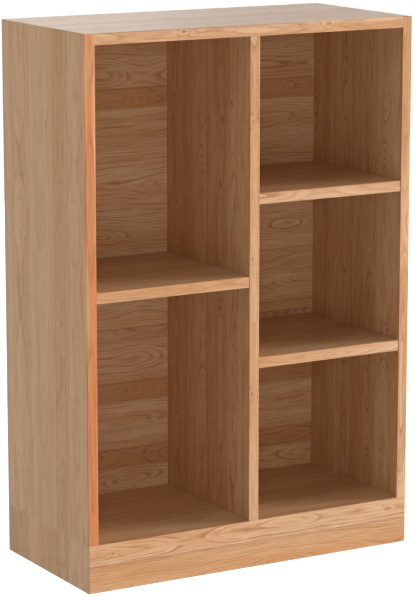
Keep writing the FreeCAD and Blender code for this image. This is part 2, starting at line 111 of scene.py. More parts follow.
# %% Sums that read like sums
def sums(tree):
    """Plus, minus, times and power for one tree."""
    return tuple(lambda first, second, kind=kind: calc(tree, kind, first, second)
                 for kind in ("ADD", "SUBTRACT", "MULTIPLY", "POWER"))


def distance_from(tree, first, second):
    """How long the slope is over two sides at right angles."""
    plus, _, _, power = sums(tree)
    return calc(tree, "SQRT", plus(power(first, 2.0), power(second, 2.0)))


print("helpers: sums, distance_from")

# %% [markdown]
# Three more are worth a name. A mix of two colours, a ramp that stretches a narrow band of values to 0..1 with soft
# ends, and noise drawn out along the grain, which is what every wood pattern starts from.

# %% Colours, ramps and stretched noise
def blend_colours(tree, kind, amount, first, second):
    """Mix two colours; amount, first and second are values or outputs."""
    inputs = {"Factor": amount, 6: first, 7: second}
    return add(tree, "ShaderNodeMix", inputs, data_type="RGBA", blend_type=kind).outputs[2]


def ramp(tree, value, low, high, kind="SMOOTHSTEP"):
    """Stretch low..high to 0..1."""
    inputs = {"Value": value, "From Min": low, "From Max": high}
    return add(tree, "ShaderNodeMapRange", inputs, interpolation_type=kind).outputs["Result"]


def grey(tree, value):
    """The same value in red, green and blue."""
    return add(tree, "ShaderNodeCombineColor", {0: value, 1: value, 2: value}).outputs[0]


def stretched_noise(tree, place, along, across, depth, detail=2.0, roughness=0.5):
    """Noise whose cells are drawn out along the grain: the three scales are cells per metre."""
    drawn_out = add(tree, "ShaderNodeVectorMath", {0: place, 1: (along, across, depth)}, operation="MULTIPLY")
    inputs = {"Vector": drawn_out.outputs[0], "Scale": 1.0, "Detail": detail, "Roughness": roughness}
    return add(tree, "ShaderNodeTexNoise", inputs).outputs["Fac"]


print("helpers: blend_colours, ramp, grey, stretched_noise")

# %% [markdown]
# ## Node groups
# A pattern that several finishes share is built once as a node group, with named inputs for whatever differs. Each
# material then holds one copy of the group with its own numbers, and a change to the group reaches all of them.

# %% Making a group
VALUE, COLOUR, VECTOR = "NodeSocketFloat", "NodeSocketColor", "NodeSocketVector"


def new_group(name, inputs, outputs):
    """A shader node group with named sockets: returns the tree, what goes in and where its results go."""
    tree = bpy.data.node_groups.new(name, "ShaderNodeTree")
    for socket, kind, value in inputs:
        made = tree.interface.new_socket(socket, in_out="INPUT", socket_type=kind)
        if value is not None:
            made.default_value = value
    for socket, kind in outputs:
        tree.interface.new_socket(socket, in_out="OUTPUT", socket_type=kind)
    return tree, tree.nodes.new("NodeGroupInput").outputs, tree.nodes.new("NodeGroupOutput").inputs


print("helper: new_group")

# %% [markdown]
# ## How oak gets its figure
# A board's figure is what is left of the tree's growth rings where the saw went through them. So the rings are
# built as the tree made them: nested tubes round a heart line that runs along the grain a little below the face.
# The distance from that line, counted in rings, is the whole pattern. Near the line the cut runs almost along a
# ring, which gives the pointed arches called cathedrals; off to the side it gives straight lines. The inputs are
# lengths in metres, apart from the sway rate, which is sways per metre, and the chance number, which sends a leaf
# to another place in the log.

# %% The rings group: what goes in and out
rings, put, out = new_group("growth_rings", [
    ("Along", VALUE, 0.0), ("From Heart", VALUE, 0.0), ("Depth", VALUE, 0.0), ("Chance", VALUE, 0.0),
    ("Ring Pitch", VALUE, 0.0045), ("Heart Depth", VALUE, 0.014), ("Sway", VALUE, 0.024),
    ("Sway Rate", VALUE, 5.0), ("Wobble", VALUE, 0.003), ("Across", VALUE, 0.0),
    ("Knot Along", VALUE, 0.0), ("Knot Across", VALUE, 0.0), ("Knot Spacing", VALUE, 1.0),
    ("Knot Size", VALUE, 0.0),
], [("Line", VALUE), ("Zone", VALUE), ("Fibre Place", VECTOR)])
plus, minus, times, power = sums(rings)
STEP_ALONG, STEP_DEEPER, STEP_IN_RINGS = 7.0, 3.0, 57.0   # how far a whole chance moves: metres, metres, rings

in_log = plus(put["Along"], times(put["Chance"], STEP_ALONG))
fibre_place = add(rings, "ShaderNodeCombineXYZ", {
    0: in_log, 1: put["From Heart"], 2: plus(put["Depth"], times(put["Chance"], STEP_DEEPER)),
}).outputs[0]
rings.links.new(fibre_place, out["Fibre Place"])
print("growth_rings so far:", len(rings.nodes), "nodes")

# %% [markdown]
# No tree grows straight. The heart line sways slowly towards the face and away from it, which closes some of the
# arches into eyes, and it bends a little from side to side. A finer wobble then makes each ring uneven.

# %% The distance from the heart line
BEND_SCALES = (5.0, 1.0, 1.0)        # cells per metre along, across and into the wood
WOBBLE_SCALES = (10.0, 40.0, 40.0)

swaying = add(rings, "ShaderNodeTexNoise", {
    "W": times(in_log, put["Sway Rate"]), "Scale": 1.0, "Detail": 1.0, "Roughness": 0.4,
}, noise_dimensions="1D").outputs["Fac"]
under = plus(plus(put["Depth"], put["Heart Depth"]), times(minus(swaying, 0.5), times(put["Sway"], 2.0)))
bend = minus(stretched_noise(rings, fibre_place, *BEND_SCALES, detail=1.0), 0.5)
beside = plus(put["From Heart"], times(bend, put["Sway"]))
wobble = minus(stretched_noise(rings, fibre_place, *WOBBLE_SCALES, detail=4.0, roughness=0.6), 0.5)
ring_place = plus(distance_from(rings, beside, under), times(wobble, times(put["Wobble"], 2.0)))
print("growth_rings so far:", len(rings.nodes), "nodes")

# %% [markdown]
# ## Knots
# Where a branch left the trunk, the rings swell round it. So a knot adds to the distance from the heart line, most
# at its own middle and less with every knot's width away from it, and the rings close round it by themselves. They
# repeat along the board at an even spacing, and they are longer along the grain than across it.

# %% Rings that go round a knot
KNOT_SHAPE = 0.45         # a knot's width for each unit of its length
KNOT_SWELL = 1.6          # how far the rings are pushed out, in knot sizes

half_spacing = times(put["Knot Spacing"], 0.5)
knot_along = times(KNOT_SHAPE, calc(rings, "PINGPONG", minus(put["Along"], put["Knot Along"]), half_spacing))
knot_across = minus(put["Across"], put["Knot Across"])
knot_widths = calc(rings, "DIVIDE", distance_from(rings, knot_along, knot_across),
                   calc(rings, "MAXIMUM", put["Knot Size"], 0.0001))
knot = times(calc(rings, "EXPONENT", times(power(knot_widths, 2.0), -1.0)),
             calc(rings, "GREATER_THAN", put["Knot Size"], 0.0))
ring_place = plus(ring_place, times(knot, times(put["Knot Size"], KNOT_SWELL)))
print("growth_rings so far:", len(rings.nodes), "nodes")

# %% [markdown]
# ## The dark edge of each year
# Oak starts each year with a band of open, dark wood and goes on with dense pale wood. Counted in years, the
# fraction of the distance says how far into its year a point is, so a steep fall from the start of each year draws
# the line. No two years are alike: white noise on the year's number makes some lines bold and some faint, and a
# patchy mask breaks them up along their length.

# %% Lines
FALL = 2.4                       # how steeply the dark wood fades into the pale
SOFT_START = 0.10                # of a year
FAINTEST, BOLDER = 0.40, 1.0
PATCH_SCALES, PATCH_BAND = (14.0, 100.0, 100.0), (0.26, 0.60)
KNOT_HEART, HEART_BAND = 0.7, (0.80, 0.97)   # how dark a knot's middle is, and where it starts

years = plus(calc(rings, "DIVIDE", ring_place, put["Ring Pitch"]), times(put["Chance"], STEP_IN_RINGS))
season = calc(rings, "FRACT", years)
dark_edge = times(power(minus(1.0, season), FALL), ramp(rings, season, 0.0, SOFT_START))
lucky_year = add(rings, "ShaderNodeTexWhiteNoise", {"W": calc(rings, "FLOOR", years)},
                 noise_dimensions="1D").outputs["Value"]
boldness = plus(FAINTEST, times(power(lucky_year, 1.5), BOLDER))
patchy = ramp(rings, stretched_noise(rings, fibre_place, *PATCH_SCALES, detail=2.0), *PATCH_BAND)
line = times(times(dark_edge, boldness), calc(rings, "MAXIMUM", patchy, knot))
rings.links.new(plus(line, times(ramp(rings, knot, *HEART_BAND), KNOT_HEART)), out["Line"])
print("growth_rings so far:", len(rings.nodes), "nodes")

# %% [markdown]
# Good and bad years come in runs. A slow noise over the years gives zones, several rings wide, that are darker as a
# whole and follow the same arches as the lines.

# %% Zones
SLOW_YEARS = 0.23         # steps of the slow noise for each year
ZONE_BAND = (0.35, 0.70)

zone = add(rings, "ShaderNodeTexNoise", {"W": times(years, SLOW_YEARS), "Scale": 1.0, "Detail": 2.0},
           noise_dimensions="1D").outputs["Fac"]
rings.links.new(ramp(rings, zone, *ZONE_BAND), out["Zone"])
print("growth_rings:", len(rings.nodes), "nodes")

# %% [markdown]
# ## From figure to finish
# Colour comes in three layers. The pale wood between the rings and the darker, redder wood of the ring lines are
# mixed by the rings themselves. Long faint streaks, wider than a ring, lean the whole thing towards one or the
# other. Then come the open pores, short dark dashes that oak has mostly along its ring lines: from across a room
# they only deepen the lines, and close up they are what makes it look like wood.

# %% The oak group: what goes in and out
oak, put, out = new_group("oak_finish", [
    ("Line", VALUE, 0.0), ("Zone", VALUE, 0.0), ("Fibre Place", VECTOR, None),
    ("Tone", VALUE, 0.5), ("Redness", VALUE, 0.0), ("Joint", VALUE, 0.0),
    ("Pale", COLOUR, (0.6, 0.35, 0.19, 1)), ("Dark", COLOUR, (0.4, 0.19, 0.08, 1)),
    ("Red", COLOUR, (0.5, 0.24, 0.12, 1)), ("Line Strength", VALUE, 0.8), ("Zone Strength", VALUE, 0.3),
    ("Streaks", VALUE, 0.3), ("Fibre", VALUE, 0.2), ("Gloss Roughness", VALUE, 0.42),
], [("Colour", COLOUR), ("Roughness", VALUE), ("Height", VALUE)])
plus, minus, times, _ = sums(oak)
STREAK_SCALES, STREAK_BAND = (1.6, 42.0, 42.0), (0.40, 0.66)
HAIR_SCALES = (22.0, 400.0, 400.0)
PORE_SCALES, PORE_BAND = (110.0, 1500.0, 1500.0), (0.56, 0.70)
PORES_ANYWHERE, PORES_ON_LINES = 0.25, 0.9

streak = ramp(oak, stretched_noise(oak, put["Fibre Place"], *STREAK_SCALES, detail=2.0), *STREAK_BAND)
hair = stretched_noise(oak, put["Fibre Place"], *HAIR_SCALES, detail=3.0, roughness=0.7)
uneven = minus(hair, 0.5)
pore = ramp(oak, stretched_noise(oak, put["Fibre Place"], *PORE_SCALES, detail=1.0), *PORE_BAND)
pores = times(pore, plus(PORES_ANYWHERE, times(put["Line"], PORES_ON_LINES)))
print("oak_finish so far:", len(oak.nodes), "nodes")

# %% [markdown]
# The layers go on in the order they have in the wood: first the red of a streak or of a whole leaf, then the dark
# of the lines, the zones and the fine fibre, and last the tone of the leaf, a little darker in each pore and joint.

# %% Oak's colour
PORE_SHADE, JOINT_SHADE = 0.35, 0.35

red_share = plus(put["Redness"], times(streak, put["Streaks"]))
toned = blend_colours(oak, "MIX", red_share, put["Pale"], put["Red"])
zones_and_fibre = plus(times(put["Zone"], put["Zone Strength"]), times(uneven, put["Fibre"]))
line_share = plus(times(put["Line"], put["Line Strength"]), zones_and_fibre)
figured = blend_colours(oak, "MIX", line_share, toned, put["Dark"])
shade = times(put["Tone"], minus(1.0, times(pores, PORE_SHADE)))
shade = times(shade, minus(1.0, times(put["Joint"], JOINT_SHADE)))
oak.links.new(blend_colours(oak, "MULTIPLY", 1.0, figured, grey(oak, shade)), out["Colour"])
print("oak_finish so far:", len(oak.nodes), "nodes")

# %% [markdown]
# Oil fills the dense wood and sinks into the open wood, so the pores are duller than what lies round them. They
# and the joints between leaves are also cut a little into the surface, and the fibre stands up between them.

# %% Oak's gloss and surface
DULL_PORES, UNEVEN_GLOSS = 0.25, 0.12
PORE_CUT, JOINT_CUT, FIBRE_UP = -0.8, -1.0, 0.25

dull = plus(times(pores, DULL_PORES), times(uneven, UNEVEN_GLOSS))
oak.links.new(plus(put["Gloss Roughness"], dull), out["Roughness"])
sunk = plus(times(pores, PORE_CUT), times(put["Joint"], JOINT_CUT))
oak.links.new(plus(sunk, times(hair, FIBRE_UP)), out["Height"])
print("oak_finish:", len(oak.nodes), "nodes")

# %% [markdown]
# ## Veneer leaves
# A wide face is laid up from leaves of veneer or from narrow staves. Every leaf is given here as where it starts
# across the face, where its heart line runs, how light it is, how red, and its chance number. A Color Ramp with
# constant steps holds that table: its red channel carries the heart line's place, green the tone, blue the redness
# and alpha the chance. A channel can't hold more than 1, so a tone goes in as its share of the brightest one.

# %% A table of leaves as a Color Ramp
BRIGHTEST = 2.0           # the tone that a full green channel stands for


def leaf_table(tree, across, low, span, leaves):
    """A Color Ramp that holds [(start, heart, tone, redness, chance), ...] for a face from low to low + span."""
    table = add(tree, "ShaderNodeValToRGB", {"Fac": ramp(tree, across, low, low + span, "LINEAR")})
    table.color_ramp.interpolation = "CONSTANT"
    steps = table.color_ramp.elements
    for number, (start, heart, tone, redness, chance) in enumerate(leaves):
        stop = max(0.0, (start - low) / span)
        step = steps[0] if number == 0 else steps.new(stop)
        step.position = stop
        step.color = ((heart - low) / span, tone / BRIGHTEST, redness, chance)
    while len(steps) > len(leaves):
        steps.remove(steps[-1])
    return table


print("helper: leaf_table")

# %% [markdown]
# The joints need no table. The distance to the nearest start of a leaf, taken one after the other with Minimum
# nodes, falls to nothing at each joint, and a ramp over a fraction of a millimetre turns that into a fine line.

# %% One leaf's values
JOINT_EDGE, JOINT_CORE = 0.0008, 0.0002


def leaf_nodes(tree, across, low, high, leaves):
    """What oak needs to know about the leaf that a point is on, by the names of the groups' inputs."""
    _, minus, times, _ = sums(tree)
    span = high - low
    table = leaf_table(tree, across, low, span, leaves)
    nearest = 1.0
    for start, *_ in leaves[1:]:
        nearest = calc(tree, "MINIMUM", nearest, calc(tree, "ABSOLUTE", minus(across, start)))
    heart_part, tone_part, redness = add(tree, "ShaderNodeSeparateColor", {0: table.outputs["Color"]}).outputs
    heart = calc(tree, "ADD", times(heart_part, span), low)
    return {
        "From Heart": minus(across, heart), "Chance": table.outputs["Alpha"], "Tone": times(tone_part, BRIGHTEST),
        "Redness": redness, "Joint": ramp(tree, nearest, JOINT_EDGE, JOINT_CORE),
    }


print("helper: leaf_nodes")

# %% [markdown]
# ## Leaves of an even width
# Where nothing more is known, a face is divided into leaves of about one width. Their tones and redness take turns
# from short lists, and each heart line stands a little off the middle of its leaf, as it does in real veneer.

# %% A plain table of leaves
AXES = {"x": 0, "y": 1, "z": 2}
STRAY, TURN, NEXT_CHANCE = 0.3, 5.0, 0.37
TONES, REDNESS = (1.0, 0.97, 1.03, 0.98, 1.02), (0.0, 0.15, 0.05, 0.2)


def even_leaves(node, axis, width, chance, tones=TONES, redness=REDNESS):
    """Leaves of about one width across a node; chance is the first one's number."""
    low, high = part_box(node)
    start, end = low[AXES[axis]], high[AXES[axis]]
    count = max(1, round((end - start) / width))
    step = (end - start) / count
    return [(start + i * step, start + (i + 0.5 + STRAY * math.sin(TURN * i + chance)) * step,
             tones[i % len(tones)], redness[i % len(redness)], (chance + NEXT_CHANCE * i) % 1.0)
            for i in range(count)]


print("the divider gets", len(even_leaves("divider_panel", "y", 0.073, 0.6)), "leaves")

# %% [markdown]
# ## Oak for one board
# The grain of a side runs up, that of a shelf runs along it, and that of the back lies across it. So each board
# says which of its axes is along the grain, which is across it and which goes into it, and the same two groups then
# serve all of them. The axes are the case's own, so a board's figure goes through it from face to edge, as in
# solid wood, and it moves with the board.

# %% Where the grain runs
def grain_places(tree, grain, low, high):
    """Along the grain, across it, and into the board from its middle."""
    place = add(tree, "ShaderNodeTexCoord").outputs["Object"]
    parts = add(tree, "ShaderNodeSeparateXYZ", {0: place}).outputs
    along, across, depth = (parts[AXES[axis]] for axis in grain)
    deep = AXES[grain[2]]
    return along, across, calc(tree, "SUBTRACT", depth, (low[deep] + high[deep]) / 2)


def empty_material(name):
    material = bpy.data.materials.new(name)
    material.use_nodes = True
    material.node_tree.nodes.clear()
    return material, material.node_tree


print("helpers: grain_places, empty_material")

# %% [markdown]
# Every finish group here puts out a colour, a roughness and a height. The shader that they feed stays in the
# material itself, together with the Bump node that turns the height into a normal, and whatever is the same all
# over the surface is set on the shader's own sockets.

# %% From a finish group to a surface
def surface_from(tree, group, strength, relief, constants):
    """A shader fed by a group's Colour, Roughness and Height; relief is the height's size in metres."""
    bump = add(tree, "ShaderNodeBump", {
        "Height": group.outputs["Height"], "Strength": strength, "Distance": relief})
    shader = add(tree, "ShaderNodeBsdfPrincipled", {
        "Base Color": group.outputs["Colour"], "Roughness": group.outputs["Roughness"],
        "Normal": bump.outputs["Normal"], **constants})
    add(tree, "ShaderNodeOutputMaterial", {"Surface": shader.outputs["BSDF"]})


def set_inputs(group, finish):
    for name, value in finish.items():
        group.inputs[name.replace("_", " ").title()].default_value = value


def finish_node(node, material):
    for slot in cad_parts[node].material_slots:
        slot.material = material


print("helpers: surface_from, set_inputs, finish_node")

# %% [markdown]
# Oak's material is then short: where the point is on its leaf, the rings there, and the oak that they make. Oil
# over oak has a refractive index a little under that of glass.

# %% The oak material
RING_NAMES = {"ring_pitch", "heart_depth", "sway", "sway_rate", "wobble",
              "knot_along", "knot_across", "knot_spacing", "knot_size"}
OAK_BUMP, OAK_RELIEF, OILED = 0.35, 0.0003, 1.48


def oak_board(node, grain, leaves=None, **finish):
    """Oak for a CAD node. grain names its axes in order: along the grain, across it, into the board."""
    low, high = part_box(node)
    wide = AXES[grain[1]]
    start, end = low[wide], high[wide]
    material, tree = empty_material("oak_" + node)
    along, across, depth = grain_places(tree, grain, low, high)
    leaf = leaf_nodes(tree, across, start, end, leaves or [(start, (start + end) / 2, 1.0, 0.0, 0.5)])
    grown = add(tree, "ShaderNodeGroup", {
        "Along": along, "Across": across, "Depth": depth,
        "From Heart": leaf["From Heart"], "Chance": leaf["Chance"]}, node_tree=rings)
    figure = {name: grown.outputs[name] for name in ("Line", "Zone", "Fibre Place")}
    wood = add(tree, "ShaderNodeGroup", {
        **figure, "Tone": leaf["Tone"], "Redness": leaf["Redness"], "Joint": leaf["Joint"]}, node_tree=oak)
    set_inputs(grown, {name: value for name, value in finish.items() if name in RING_NAMES})
    set_inputs(wood, {name: value for name, value in finish.items() if name not in RING_NAMES})
    surface_from(tree, wood, OAK_BUMP, OAK_RELIEF, {"IOR": OILED})
    finish_node(node, material)


print("helper: oak_board")

# %% [markdown]
# ## The colours of this oak
# It is warm, between honey and pink. The veneered boards are a little greyer than the solid strips on their front
# edges, and the strip on the left side comes from a redder, more golden plank than the rest.

# %% Colours
SOLID = {"pale": (0.68, 0.415, 0.232, 1), "dark": (0.45, 0.180, 0.052, 1), "red": (0.60, 0.285, 0.108, 1)}
BOARD = {"pale": (0.65, 0.410, 0.226, 1), "dark": (0.41, 0.175, 0.052, 1), "red": (0.57, 0.282, 0.108, 1)}
AMBER = {"pale": (0.80, 0.465, 0.235, 1), "dark": (0.46, 0.140, 0.032, 1), "red": (0.64, 0.195, 0.05, 1)}
print("three oak colours, palest", max(colour["pale"][0] for colour in (SOLID, BOARD, AMBER)))

# %% [markdown]
# ## Four figures
# A face with bold arches was cut close to the heart line; a quiet one was cut further out; a straight one further
# still. The strips are solid, with wide rings that wander off their narrow faces.

# %% Figures
FACE = dict(BOARD, ring_pitch=0.0043, heart_depth=0.017, sway=0.029, sway_rate=5.0, wobble=0.0022,
            line_strength=1.2, zone_strength=0.25, streaks=0.5, fibre=1.7)
QUIET = dict(BOARD, ring_pitch=0.0035, heart_depth=0.05, sway=0.012, line_strength=0.5, zone_strength=0.2,
             streaks=0.45, fibre=1.3)
STRAIGHT = dict(QUIET, ring_pitch=0.0028, heart_depth=0.09, sway=0.008, wobble=0.0018, line_strength=0.45,
                streaks=0.4, fibre=1.0)
STRIP = dict(SOLID, ring_pitch=0.0042, heart_depth=0.012, sway=0.016, sway_rate=3.5, wobble=0.003,
             line_strength=1.15, zone_strength=0.5, streaks=0.85, fibre=1.1)
LEAF = 0.073              # a leaf's usual width
ONE_LEAF = 0.5            # wider than any strip, so that a strip is one leaf
print("rings per 100 mm:", {name: round(0.1 / figure["ring_pitch"]) for name, figure in
                            (("face", FACE), ("quiet", QUIET), ("straight", STRAIGHT), ("strip", STRIP))})

# %% [markdown]
# ## Sides and divider
# The left side is the one that shows outside, and its four leaves are of different widths, with a redder one in
# the middle. The right side and the divider show mostly inside the compartments.

# %% The upright boards
LEFT_LEAVES = [
    (-0.146, -0.11, 1.0, 0.20, 0.12), (-0.072, -0.06, 0.98, 0.55, 0.34), (-0.036, 0.01, 1.0, 0.10, 0.56),
    (0.054, 0.09, 1.02, 0.0, 0.78)]

oak_board("left_side_panel", "zyx", LEFT_LEAVES, **STRAIGHT)
oak_board("right_side_panel", "zyx", even_leaves("right_side_panel", "y", LEAF, 0.34), **FACE)
oak_board("divider_panel", "zyx", even_leaves("divider_panel", "y", LEAF, 0.6), **FACE)
print("left side:", len(LEFT_LEAVES), "leaves")

# %% [markdown]
# ## Top and bottom
# Both run from side to side. The bottom board is the floor of the compartments, and a little lighter.

# %% The level boards
BOTTOM_TONES = (1.05, 1.02, 1.07)

oak_board("top_panel", "xyz", even_leaves("top_panel", "y", LEAF, 0.3), **QUIET)
oak_board("bottom_panel", "xyz", even_leaves("bottom_panel", "y", LEAF, 0.4, tones=BOTTOM_TONES), **QUIET)
print("top and bottom: oak along X")

# %% [markdown]
# ## The back
# The back panel's leaves lie level, one above the other, and they are far from even: wide pale ones with big arches
# between narrow dark ones. So this face has a table of its own, listed from the bottom upwards. So this face has a
# table made by hand, from the bottom upwards.

# %% The back panel
BACK_LEAVES = [
    (0.079, 0.10, 1.02, 0.05, 0.11), (0.117, 0.135, 0.94, 0.75, 0.23), (0.152, 0.20, 1.02, 0.05, 0.31),
    (0.234, 0.252, 0.92, 0.90, 0.43), (0.269, 0.31, 1.0, 0.1, 0.55), (0.343, 0.355, 0.95, 0.4, 0.67),
    (0.364, 0.42, 1.03, 0.05, 0.71), (0.475, 0.52, 1.03, 0.0, 0.83), (0.557, 0.607, 1.06, 0.0, 0.15),
    (0.667, 0.705, 1.0, 0.1, 0.27), (0.741, 0.76, 0.92, 1.0, 0.39), (0.774, 0.80, 0.98, 0.2, 0.05),
    (0.827, 0.86, 0.94, 0.3, 0.51)]

oak_board("back_panel", "xzy", BACK_LEAVES, **FACE)
print("back:", len(BACK_LEAVES), "leaves")

# %% [markdown]
# ## Shelves
# Each loose shelf is a board with a solid strip along its front. The boards are a shade darker than the case, and
# every shelf gets chance numbers of its own, so that no two show the same grain.

# %% The shelves and their strips
SHELF_TONES = (0.94, 0.91, 0.95)
SHELVES = ("left_shelf", "upper_right_shelf", "lower_right_shelf")

for number, node in enumerate(SHELVES, start=8):
    oak_board(node, "xyz", even_leaves(node, "y", LEAF, 0.13 * number, tones=SHELF_TONES), **QUIET)
    strip = node + "_edging"
    oak_board(strip, "xzy", even_leaves(strip, "z", ONE_LEAF, 0.29 * number), **STRIP)
print(len(SHELVES), "shelves with strips")

# %% [markdown]
# ## The strips on the front
# Solid strips hide the boards' front edges. The middle one has a few small knots up its length and the top one has
# two, while the one on the left is the redder plank.

# %% The upright strips and the top strip
MIDDLE_KNOTS = {"knot_along": 0.295, "knot_across": -0.001, "knot_spacing": 0.225, "knot_size": 0.005}
TOP_KNOTS = {"knot_along": -0.128, "knot_across": 0.8955, "knot_spacing": 0.27, "knot_size": 0.006}
UPRIGHT_STRIPS = {"left_side_edging": AMBER, "divider_edging": MIDDLE_KNOTS, "right_side_edging": {}}

for number, (node, its_own) in enumerate(UPRIGHT_STRIPS.items(), start=30):
    leaf = even_leaves(node, "x", ONE_LEAF, 0.11 * number + 0.03)
    oak_board(node, "zxy", leaf, **{**STRIP, **its_own})
oak_board("top_edging", "xzy", even_leaves("top_edging", "z", ONE_LEAF, 0.77), **STRIP, **TOP_KNOTS)
print(len(UPRIGHT_STRIPS) + 1, "front strips")

# %% [markdown]
# ## The plinth
# Its front is one solid board, redder in its lower half, with a knot. The side boards are veneered like the case,
# and the rear board and the brace, which hardly show, are a single quiet leaf each.

# %% The plinth's boards
PLINTH_LEAVES = [(0.0, 0.0, 0.98, 0.45, 0.35), (0.043, 0.065, 1.0, 0.05, 0.8)]
PLINTH_KNOT = {"knot_along": 0.269, "knot_across": 0.062, "knot_spacing": 0.53, "knot_size": 0.005}

oak_board("plinth_front", "xzy", PLINTH_LEAVES, **dict(FACE, **SOLID, sway=0.016, heart_depth=0.02), **PLINTH_KNOT)
for number, node in enumerate(("plinth_left", "plinth_right"), start=42):
    oak_board(node, "zyx", even_leaves(node, "y", LEAF, 0.01 * number), **QUIET)
for node in ("plinth_back", "plinth_brace"):
    oak_board(node, "xzy", **QUIET)
print("plinth: five boards")

# %% [markdown]
# ## Softwood, plywood and beech
# Inside the plinth nobody sees the wood, so the real maker uses what is cheap and straight: softwood for the cleats
# and blocks, birch plywood for the splines and beech for the dowels. They share the oak's nodes, because every
# wood is rings, fibres and pores; only the colours and the strengths change.

# %% The hidden woods
SOFTWOOD = dict(pale=(0.74, 0.56, 0.33, 1), dark=(0.55, 0.32, 0.13, 1), red=(0.70, 0.48, 0.26, 1),
                ring_pitch=0.0032, heart_depth=0.04, sway=0.01, line_strength=0.7, gloss_roughness=0.62)
PLYWOOD = dict(pale=(0.72, 0.58, 0.40, 1), dark=(0.52, 0.37, 0.22, 1), red=(0.66, 0.50, 0.33, 1),
               ring_pitch=0.0014, heart_depth=0.06, sway=0.004, line_strength=0.5, gloss_roughness=0.6)
BEECH = dict(pale=(0.70, 0.47, 0.28, 1), dark=(0.50, 0.30, 0.16, 1), red=(0.64, 0.39, 0.22, 1),
             ring_pitch=0.0012, heart_depth=0.02, sway=0.004, line_strength=0.35, gloss_roughness=0.5)
WOOD_BY_ENDING = {"_cleat": SOFTWOOD, "_block": SOFTWOOD, "_spline": PLYWOOD, "_dowels": BEECH}
print("hidden woods for", sorted(WOOD_BY_ENDING))

# %% [markdown]
# Their grain runs along their longest side. A node of dowels holds several apart from each other, so its box says
# nothing about them, and their direction is given by name.

# %% Which way each one runs
DOWEL_GRAIN = {"side_dowels": "xyz", "divider_dowels": "zyx", "brace_dowels": "yxz", "plinth_back_dowels": "xyz"}


def longest_first(node):
    """A node's axes from its longest side to its shortest: along the grain, across it, into it."""
    low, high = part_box(node)
    return "".join(sorted("xyz", key=lambda axis: -(high - low)[AXES[axis]]))


hidden = 0
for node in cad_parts:
    wood = next((wood for ending, wood in WOOD_BY_ENDING.items() if node.endswith(ending)), None)
    if wood:
        oak_board(node, DOWEL_GRAIN.get(node) or longest_first(node), **wood)
        hidden += 1
print(hidden, "hidden pieces of wood")

# %% [markdown]
# ## Zinc and nickel
# The screws are zinc plated: grey, a little blue, with cloudy patches. The shelf pins are brighter nickel with fine
# turning marks round them. One group gives both: a cloud for the tone, and rings of very small scratches that
# change the roughness more than the colour.

# %% The metal group
metal, put, out = new_group("plated_metal", [
    ("Tint", COLOUR, (0.6, 0.6, 0.6, 1)), ("Cloud", VALUE, 0.2), ("Base Roughness", VALUE, 0.3),
    ("Scratches", VALUE, 0.1),
], [("Colour", COLOUR), ("Roughness", VALUE), ("Height", VALUE)])
plus, minus, times, _ = sums(metal)
CLOUD_SCALES = (420.0, 420.0, 420.0)
SCRATCH_SCALES = (6000.0, 900.0, 6000.0)

spot = add(metal, "ShaderNodeTexCoord").outputs["Object"]
cloud = stretched_noise(metal, spot, *CLOUD_SCALES, detail=3.0)
scratch = stretched_noise(metal, spot, *SCRATCH_SCALES, detail=2.0)
dimmer = grey(metal, minus(1.0, times(cloud, put["Cloud"])))
metal.links.new(blend_colours(metal, "MULTIPLY", 1.0, put["Tint"], dimmer), out["Colour"])
metal.links.new(plus(put["Base Roughness"], times(plus(scratch, cloud), put["Scratches"])), out["Roughness"])
metal.links.new(scratch, out["Height"])
print("plated_metal:", len(metal.nodes), "nodes")

# %% [markdown]
# A metal takes its colour from what it reflects, so the tint is all the colour it has and the shader's Metallic is
# plainly 1. Screws and pins are found by the ends of their names.

# %% Screws and pins
METAL_BUMP, METAL_RELIEF = 0.2, 0.00005


def metal_finish(name, **finish):
    material, tree = empty_material(name)
    plated = add(tree, "ShaderNodeGroup", node_tree=metal)
    set_inputs(plated, finish)
    surface_from(tree, plated, METAL_BUMP, METAL_RELIEF, {"Metallic": 1.0})
    return material


ZINC = metal_finish("zinc_plate", tint=(0.55, 0.58, 0.62, 1), cloud=0.35, base_roughness=0.30, scratches=0.2)
NICKEL = metal_finish("bright_nickel", tint=(0.72, 0.69, 0.64, 1), cloud=0.12, base_roughness=0.18, scratches=0.15)
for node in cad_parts:
    if node.endswith(("_screws", "_pins")):
        finish_node(node, ZINC if node.endswith("_screws") else NICKEL)
plain = [node for node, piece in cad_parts.items()
         if not all(slot.material in (ZINC, NICKEL) or slot.material.name.startswith("oak_")
                    for slot in piece.material_slots)]
print("nodes still plain:", plain)

# %% [markdown]
# ## Soft edges
# No real edge is a knife edge. A maker takes the sharpness off with fine paper, and that narrow round is what
# catches the light. Weld closes the seams that the CAD mesh leaves between its faces, and Bevel then rounds every
# edge sharper than 40 degrees. The round is a fraction of a millimetre, so the joints between boards show as the
# fine lines they really are, and no board grows. The back panel sits in its groove with no edge in sight, and the
# small round parts are already the shape they should be, so those are left alone.

# %% Round the edges
ROUNDS = {"_panel": 0.0005, "_edging": 0.0006, "plinth_": 0.0006, "_shelf": 0.0005, "_cleat": 0.0006,
          "_block": 0.0006}
LEFT_ALONE = ("back_panel", "_pins", "_dowels", "_screws")
SEAM = 0.00002
SHARP = math.radians(40)

rounded = 0
for node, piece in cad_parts.items():
    width = next((size for part, size in ROUNDS.items() if part in node), None)
    if width is None or node.endswith(LEFT_ALONE):
        continue
    weld = piece.modifiers.new("close_seams", "WELD")
    weld.merge_threshold = SEAM
    bevel = piece.modifiers.new("soft_edges", "BEVEL")
    bevel.width = width
    bevel.segments = 2
    bevel.limit_method = "ANGLE"
    bevel.angle_limit = SHARP
    bevel.use_clamp_overlap = True
    rounded += 1
print("rounded", rounded, "boards")

# %% [markdown]
# ## The studio
# The case stands in a white studio. A world that glowed white from everywhere would light the insides of the
# compartments as brightly as the front, so the world is white only where the camera looks straight at it: Light
# Path's Is Camera Ray switches it off for everything that lights the wood.

